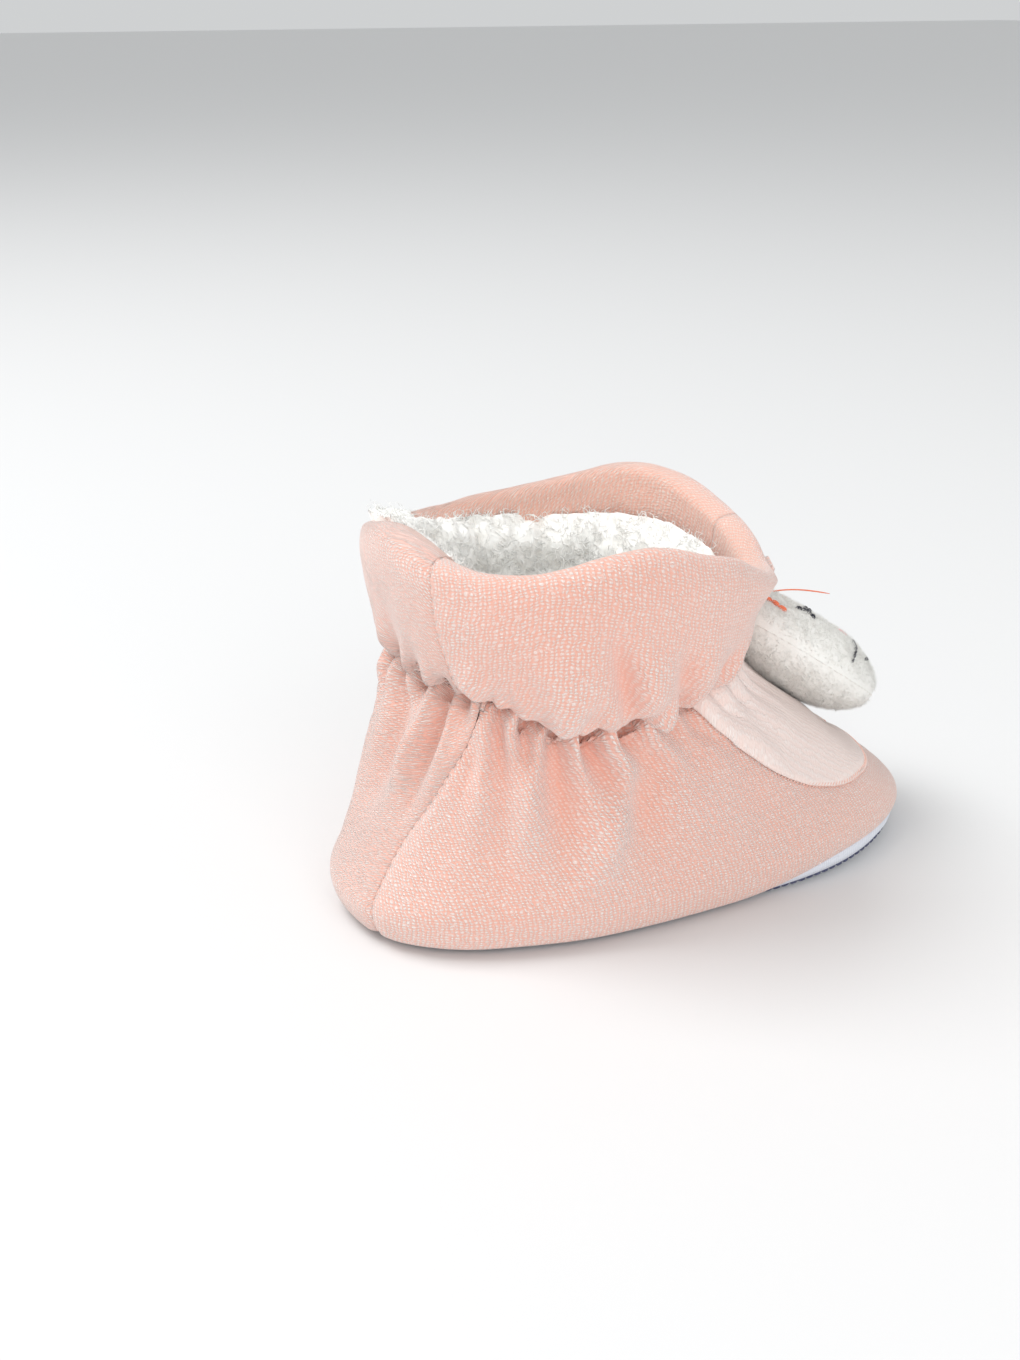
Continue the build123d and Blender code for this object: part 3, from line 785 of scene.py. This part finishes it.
# The anti-slip dots are low domes, where the CAD's are.
DOT_RADIUS, DOT_PITCH, DOT_HEIGHT = 2.0, 11.0, OUTSOLE_LOW
heap = Heap()
for row in range(-4, 5):
    for column in range(-6, 7):
        x, y = (column + (row % 2) / 2) * DOT_PITCH, row * DOT_PITCH * math.sin(PI / 3)
        # Only the places inside the sole's outline hold a dot.
        along, wide = (x + 0.2) / 52.5, 23.0 + 3.8 * smooth(-40, 30, x)
        if abs(along) ** SQUARENESS + abs(y / wide) ** SQUARENESS > 1:
            continue
        turn, out = np.meshgrid(np.linspace(0, 2 * PI, 25)[:-1], np.linspace(0, 1, 7), indexing="xy")
        sag = DOT_HEIGHT * (1 - out**4) + 0.15
        dome = np.stack([x + DOT_RADIUS * out * np.cos(turn), y + DOT_RADIUS * out * np.sin(turn),
                         OUTSOLE_LOW + 0.15 - sag + toe_lift(x)], axis=-1)
        heap.add(dome, [grid_faces(7, 24, closed=True)])
grip = heap.piece("grip_domes", DOT_RUBBER, BODY)
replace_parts(grip, "grip_dots")


# ------------------------------------------------------------------ threads on the body
def thread_piece(name, node, paths, radius, slot, body):
    """One thread's stitches, as one piece."""
    heap = Heap()
    for path in paths:
        tube(heap, path, radius)
    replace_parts(heap.piece(name, THREADS[slot], body), node)


def dashes(curve, length, gap, lift):
    """Cuts a densely sampled curve into stitches, each raised above the curve by lift at its middle."""
    points, normals = curve
    run = np.concatenate([[0], np.cumsum(np.linalg.norm(np.diff(points, axis=0), axis=1))])
    made, start = [], 0.0
    while start + length < run[-1]:
        at = np.linspace(start, start + length, 7)
        line = np.stack([np.interp(at, run, points[:, i]) for i in range(3)], axis=-1)
        out = np.stack([np.interp(at, run, normals[:, i]) for i in range(3)], axis=-1)
        made.append(line + out * (lift * np.sin(np.linspace(0, PI, 7)) - 0.12)[:, None])
        start += length + gap
    return made


t = np.linspace(-PI, PI, 1400)
edge_line = level(np.zeros_like(t), t, inset=SOLE_EDGE)
band = at_band(edge_line[:, 0])
edge_line = level(np.zeros_like(t), t, inset=SOLE_EDGE - 2.3 * band)
edge_line[:, 2] = OUTSOLE_LOW + 0.15 + 0.35 * band + toe_lift(edge_line[:, 0])
down = np.tile([0.0, 0.0, -1.0], (len(t), 1))
thread_piece("sole_seam_stitches", "sole_seam_thread", dashes((edge_line, down), 1.7, 0.25, 0.1), 0.3,
             "navy_thread", BODY)

ELASTIC_SEAM, FACING_SEAM = 9.25, 18.8  # their stations
seam_rows, toe_rows = np.linspace(0.6, 18.6, 900), np.linspace(0.6, 4.4, 300)
# Each seam's stitches, its node, its line, a stitch's length, gap and lift, and the thread's radius.
BODY_SEAMS = [
    ("back_seam_stitches", "back_seam_thread", on_skin(np.full_like(seam_rows, -PI + 0.002), seam_rows),
     (1.6, 0.5, 0.1), 0.16),
    ("toe_seam_stitches", "toe_seam_thread", on_skin(np.full_like(toe_rows, 0.002), toe_rows),
     (1.6, 0.5, 0.1), 0.16),
    ("elastic_stitches", "elastic_stitching", on_skin(t, np.full_like(t, ELASTIC_SEAM)),
     (1.3, 0.5, 0.15), 0.15),
    ("facing_stitches", "facing_seam_thread", on_skin(t, np.full_like(t, FACING_SEAM)),
     (1.6, 0.5, 0.1), 0.16),
]
for name, node, line, stitch, radius in BODY_SEAMS:
    thread_piece(name, node, dashes(line, *stitch), radius, "pink_thread", BODY)

# The elastic is gathered with the cloth, inside the deepest folds.
t, k = np.meshgrid(np.linspace(-PI, PI, 481), np.linspace(-1, 1, 9), indexing="ij")
ripple = 0.25 * np.sin(t * 52)
inner = level(8.6 + 0.45 * k, t, inset=DEEPEST + CLOTH_THICKNESS + 0.9 + 0.1 * ripple)
elastic = new_piece("elastic_band", inner.reshape(-1, 3), [grid_faces(*t.shape, flip=True)], [ELASTIC],
                    BODY)
thicken(elastic, 0.6)
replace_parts(elastic, "ankle_elastic")


# ------------------------------------------------------------------ the instep patch
# The lowest station that the patch covers at each angle from the middle.
PATCH_ANGLES = [0, 20, 38, 52, 60, 65, 68]
PATCH_ROWS = [3.1, 3.15, 3.3, 3.6, 4.2, 5.0, 6.0]
PATCH_TOP = 8.72


def patch_row(theta):
    """The station of the patch's lower edge."""
    return through(PATCH_ANGLES, PATCH_ROWS, np.degrees(np.abs(theta)))


patch_angle = math.radians(PATCH_ANGLES[-1])
t, k = np.meshgrid(np.linspace(-patch_angle, patch_angle, 261), np.linspace(0, 1, 180), indexing="ij")
r = patch_row(t) + (PATCH_TOP - patch_row(t)) * k
points, normals = on_skin(t, r)
near_edge = np.minimum(smooth(0, 0.05, k), smooth(0, 0.03, 1 - np.abs(t) / patch_angle))
points = points + normals * (0.35 + 0.45 * near_edge)[..., None]
uv = np.stack([points[..., 1], points[..., 0]], axis=-1)
patch = new_piece("instep_patch_cloth", points.reshape(-1, 3), [grid_faces(*t.shape, flip=True)], [PATCH],
                  BODY, uv=uv.reshape(-1, 2), shades=np.full(t.size, 0.75))
thicken(patch, 0.8)
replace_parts(patch, "instep_patch")

# Slanting stitches over the patch's edge, each from the velour to just inside the patch.
heap = Heap()
side_rows = np.linspace(PATCH_TOP, PATCH_ROWS[-1], 120)
fine_t = np.linspace(-patch_angle, patch_angle, 900)
edge_t = np.concatenate([np.full(120, -patch_angle), fine_t, np.full(120, patch_angle)])
edge_r = np.concatenate([side_rows, patch_row(fine_t), side_rows[::-1]])
outer_edge, edge_normals = on_skin(edge_t * 1.008, edge_r - 0.04, lift=0.15)
inner_r = edge_r + 0.16 * np.cos(edge_t * PI / 2 / patch_angle) ** 0.5
inner_edge = on_skin(edge_t * 0.965, inner_r, lift=0.85)[0]
run = np.concatenate([[0], np.cumsum(np.linalg.norm(np.diff(outer_edge, axis=0), axis=1))])
for start in np.arange(0.4, run[-1] - 1, 0.95):
    a = np.array([np.interp(start, run, outer_edge[:, i]) for i in range(3)])
    b = np.array([np.interp(start + 0.45, run, inner_edge[:, i]) for i in range(3)])
    out = np.array([np.interp(start, run, edge_normals[:, i]) for i in range(3)])
    k = np.linspace(0, 1, 6)[:, None]
    tube(heap, a * (1 - k) + b * k + out * (0.35 * np.sin(k * PI)), 0.16)
patch_stitches = heap.piece("patch_edge_stitches", THREADS["pink_thread"], BODY)
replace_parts(patch_stitches, "patch_stitching")


# ------------------------------------------------------------------ the stuffed head
LEAN = math.radians(35)
HEAD_ALONG = np.array([math.cos(LEAN), 0, -math.sin(LEAN)])
HEAD_OUT = np.array([math.sin(LEAN), 0, math.cos(LEAN)])
HEAD_LEFT = np.array([0.0, 1.0, 0.0])
face_low, face_high = node_box("head_face_panel")
back_low, back_high = node_box("head_back_panel")
HEAD_SINKS = 0.4  # how far it settles into the instep
HEAD_MIDDLE = (np.minimum(face_low, back_low) + np.maximum(face_high, back_high)) / 2
HEAD_MIDDLE = HEAD_MIDDLE - HEAD_SINKS * HEAD_OUT
HEAD_HALF_LENGTH, HEAD_HALF_WIDTH, HEAD_HALF_THICK = 21.5, 19.0, 8.3


def on_head(along, across, side=1, lift=0.0):
    """Points of the head's cloth, along it and across it to its left: side 1 is the face, -1 the back."""
    along, across = np.broadcast_arrays(np.asarray(along, float), np.asarray(across, float))
    rho = np.sqrt((along / HEAD_HALF_LENGTH) ** 2 + (across / HEAD_HALF_WIDTH) ** 2)
    turn = np.arctan2(across / HEAD_HALF_WIDTH, along / HEAD_HALF_LENGTH)
    full = np.clip(1 - rho**2.7, 0, 1) ** 0.54
    flat = np.stack([along, across, np.full_like(along, 4.0 * side)], axis=-1)
    beside_seam = np.stack([np.cos(turn) * 20, np.sin(turn) * 20, np.full_like(turn, side * 3.0)], -1)
    pucker = 0.55 * smooth(0.55, 0.97, rho) * noise(beside_seam, 3.2, seed=31)
    dents = 0.35 * noise(flat, 7, seed=17) * np.clip(1 - rho, 0, 1) ** 0.3
    height = side * ((HEAD_HALF_THICK - 0.3) * full + (pucker + dents) * full + lift)
    on_plane = HEAD_MIDDLE + along[..., None] * HEAD_ALONG + across[..., None] * HEAD_LEFT
    return on_plane + height[..., None] * HEAD_OUT


def head_panel(name, side, seed):
    """One of the head's two cloths, and the loose fibres of its nap."""
    turn, rho = np.meshgrid(np.linspace(-PI, PI, 321), np.linspace(0.0, 1, 110) ** 0.75, indexing="ij")
    points = on_head(HEAD_HALF_LENGTH * rho * np.cos(turn), HEAD_HALF_WIDTH * rho * np.sin(turn), side)
    normals = grid_normals(points)
    normals = normals * np.sign((normals @ HEAD_OUT) * side)[..., None]
    fuzz = 0.13 * noise(points, 1.5, seed=seed, octaves=1)
    fuzz = fuzz + 0.15 * noise(points, 3.4, seed=seed + 1, octaves=1)
    points = points + normals * fuzz[..., None]
    # Its shade is painted shade, darker where the nap dips in.
    panel = new_piece(name, points.reshape(-1, 3), [grid_faces(*turn.shape, flip=side < 0)], [PLUSH], HEAD,
                      shades=np.clip(0.85 + fuzz, 0, 1).ravel())
    rng = np.random.default_rng(seed)
    a, b = rng.integers(1, 320, 9500), (109 * rng.uniform(0.02, 0.995, 9500) ** 0.62).astype(int)
    heap = Heap()
    fibres(heap, points[a, b], normals[a, b], 0.7, 0.06, seed, curl=0.8, lean=1.1)
    tips = heap.piece(name + "_fibres", PLUSH, HEAD)
    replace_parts(panel, name + "_panel")


head_panel("head_face", 1, 41)
head_panel("head_back", -1, 42)

heap = Heap()
turn, tilt = np.meshgrid(np.linspace(-PI, PI, 97), np.linspace(-PI / 2, PI / 2, 49), indexing="ij")
inside = (HEAD_MIDDLE + (HEAD_HALF_LENGTH - 1.6) * (np.cos(turn) * np.cos(tilt))[..., None] * HEAD_ALONG
          + (HEAD_HALF_WIDTH - 1.6) * (np.sin(turn) * np.cos(tilt))[..., None] * HEAD_LEFT
          + (HEAD_HALF_THICK - 1.8) * np.sin(tilt)[..., None] * HEAD_OUT)
heap.add(inside, [grid_faces(97, 49, flip=True)], shade=0.8)
filling = heap.piece("head_filling", STUFFING, HEAD)
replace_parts(filling, "head_stuffing")


# The face is turned on the head, so that its chin points to the right.
FACE_TURN = math.radians(-45)


def head_line(places, steps=40, lift=0.3):
    """A smooth line on the face through a few places: how far towards the chin, and to the face's left."""
    places = np.asarray(places, float)
    down, left = through(np.arange(len(places)), places, np.linspace(0, len(places) - 1, steps)).T
    along = down * math.cos(FACE_TURN) - left * math.sin(FACE_TURN)
    across = down * math.sin(FACE_TURN) + left * math.cos(FACE_TURN)
    return on_head(along, across, 1, lift), np.tile(HEAD_OUT, (steps, 1))


seam_turn = np.linspace(-PI, PI, 700)
rim_points = on_head(HEAD_HALF_LENGTH * np.cos(seam_turn), HEAD_HALF_WIDTH * np.sin(seam_turn), 1)
outward = unit(rim_points - HEAD_MIDDLE)
thread_piece("head_seam_stitches", "head_seam_thread", dashes((rim_points, outward), 1.2, 0.4, 0.12), 0.14,
             "white_thread", HEAD)

EYE_DOWN, EYE_LEFT = 1.0, 9.0
for side, name in ((-1, "right"), (1, "left")):
    lid = head_line([(EYE_DOWN - 2.0, side * (EYE_LEFT + 3.6)), (EYE_DOWN, side * (EYE_LEFT + 1.8)),
                     (EYE_DOWN + 0.5, side * EYE_LEFT), (EYE_DOWN, side * (EYE_LEFT - 1.8)),
                     (EYE_DOWN - 2.0, side * (EYE_LEFT - 3.4))])
    lash = head_line([(EYE_DOWN, side * (EYE_LEFT + 1.6)), (EYE_DOWN + 2.4, side * (EYE_LEFT + 3.0))], 12)
    eye_stitches = dashes(lid, 1.3, 0.05, 0.2) + dashes(lash, 1.2, 0.05, 0.2)
    thread_piece(f"eye_{name}_stitches", f"eye_{name}", eye_stitches, 0.38, "black_thread", HEAD)

cheek = head_line([(-7.2, -15.6), (-4.2, -16.2), (-2.2, -16.6), (-0.8, -17.0)])
thread_piece("orange_stroke_stitches", "orange_stroke_right", dashes(cheek, 1.7, 0.02, 0.2), 0.45,
             "orange_thread", HEAD)

NOSE_DOWN = 9.0
satin = []
for left in np.arange(-1.9, 1.95, 0.38):
    reach = 1.35 * math.sqrt(max(1 - (left / 2.2) ** 2, 0.05))
    satin.append(head_line([(NOSE_DOWN - reach, left), (NOSE_DOWN + reach, left * 0.55)], 10, 0.25)[0])
thread_piece("nose_stitches", "nose", satin, 0.24, "nose_thread", HEAD)

mouth_lines = [head_line([(10.6, 0), (11.4, 0)], 14), head_line([(15.4, -3.6), (15.9, 0), (15.4, 3.6)])]
for side in (-1, 1):
    mouth_lines.append(head_line([(11.4, 0), (12.3, side * 4.4), (13.0, side * 8.4), (13.5, side * 12.4)]))
mouth_stitches = sum((dashes(line, 1.1, 0.6, 0.15) for line in mouth_lines), [])
thread_piece("mouth_stitches", "mouth", mouth_stitches, 0.3, "black_thread", HEAD)
crown = head_line([(-11, 0.2), (-6.5, 0.4), (-2, 0)])
thread_piece("crown_stitches", "crown_stroke", dashes(crown, 1.8, 0.1, 0.2), 0.28, "orange_thread", HEAD)

# The loose end leaves the crown's stitching and lies in the air over the face.
loose_low, loose_high = node_box("loose_thread_end")
start, stop = loose_low[0], loose_high[0]
k = np.linspace(0, 1, 60)
loose = np.stack([start + (stop - start) * k, -0.8 + 1.6 * np.sin(k * 2.4),
                  loose_low[2] - 1.4 - 3.6 * k + 0.6 * np.sin(k * PI)], axis=-1)
thread_piece("loose_thread", "loose_thread_end", [loose], 0.16, "orange_thread", HEAD)

# A row of tacks along the head's crown, each from the cuff into the head.
tacks = []
for y in np.linspace(-6.5, 6.5, 8):
    k = np.linspace(0, 1, 9)[:, None]
    tacks.append(HINGE + np.array([-1.6, y, -0.8]) * (1 - k) + np.array([1.8, y + 0.8, 0.6]) * k
                 + np.array([0, 0, 0.7]) * np.sin(k * PI))
thread_piece("head_tack_stitches", "head_tack_thread", tacks, 0.2, "white_thread", HEAD)


# ------------------------------------------------------------------ the stage
FLOOR_REACH = 6.0
FLOOR_COLOUR, SKY_COLOUR, SKY_STRENGTH = rgb(230, 230, 230), rgb(246, 248, 249), 0.68
corners = [(x * FLOOR_REACH, y * FLOOR_REACH, 0) for x, y in ((-1, -1), (1, -1), (1, 1), (-1, 1))]
floor_mesh = bpy.data.meshes.new("floor")
floor_mesh.from_pydata(corners, [], [(0, 1, 2, 3)])
floor_mesh.materials.append(Nodes("floor_paint", specular=0.1).colour((*FLOOR_COLOUR, 1)))
floor = bpy.data.objects.new("floor", floor_mesh)
bpy.context.scene.collection.objects.link(floor)

world = bpy.data.worlds.new("studio")
world.use_nodes = True
sky = world.node_tree.nodes["Background"].inputs
sky["Color"].default_value, sky["Strength"].default_value = (*SKY_COLOUR, 1), SKY_STRENGTH
bpy.context.scene.world = world


def soft_light(name, place, size, power):
    """A large square lamp that points at the bootie."""
    data = bpy.data.lights.new(name, "AREA")
    data.shape, data.size, data.energy = "SQUARE", size, power
    lamp = bpy.data.objects.new(name, data)
    lamp.location = place
    lamp.rotation_euler = (Vector((0, 0, 0.04)) - Vector(place)).to_track_quat("-Z", "Y").to_euler()
    bpy.context.scene.collection.objects.link(lamp)


soft_light("key", (-0.55, 0.35, 1.1), 0.7, 9.5)
soft_light("fill", (-0.4, -1.2, 0.6), 1.2, 8.0)

CAMERA_PLACE, CAMERA_AIM = (-0.1596, -0.2396, 0.158), (0.4477, 0.8043, -0.3907)
camera_data = bpy.data.cameras.new("camera")
camera_data.sensor_width, camera_data.lens = 36.0, 43.4
camera_data.clip_start, camera_data.clip_end = 0.01, 50.0
camera = bpy.data.objects.new("camera", camera_data)
camera.location = CAMERA_PLACE
camera.rotation_euler = Vector(CAMERA_AIM).to_track_quat("-Z", "Y").to_euler()
bpy.context.scene.collection.objects.link(camera)
bpy.context.scene.camera = camera
bpy.context.scene.view_settings.view_transform = "Standard"
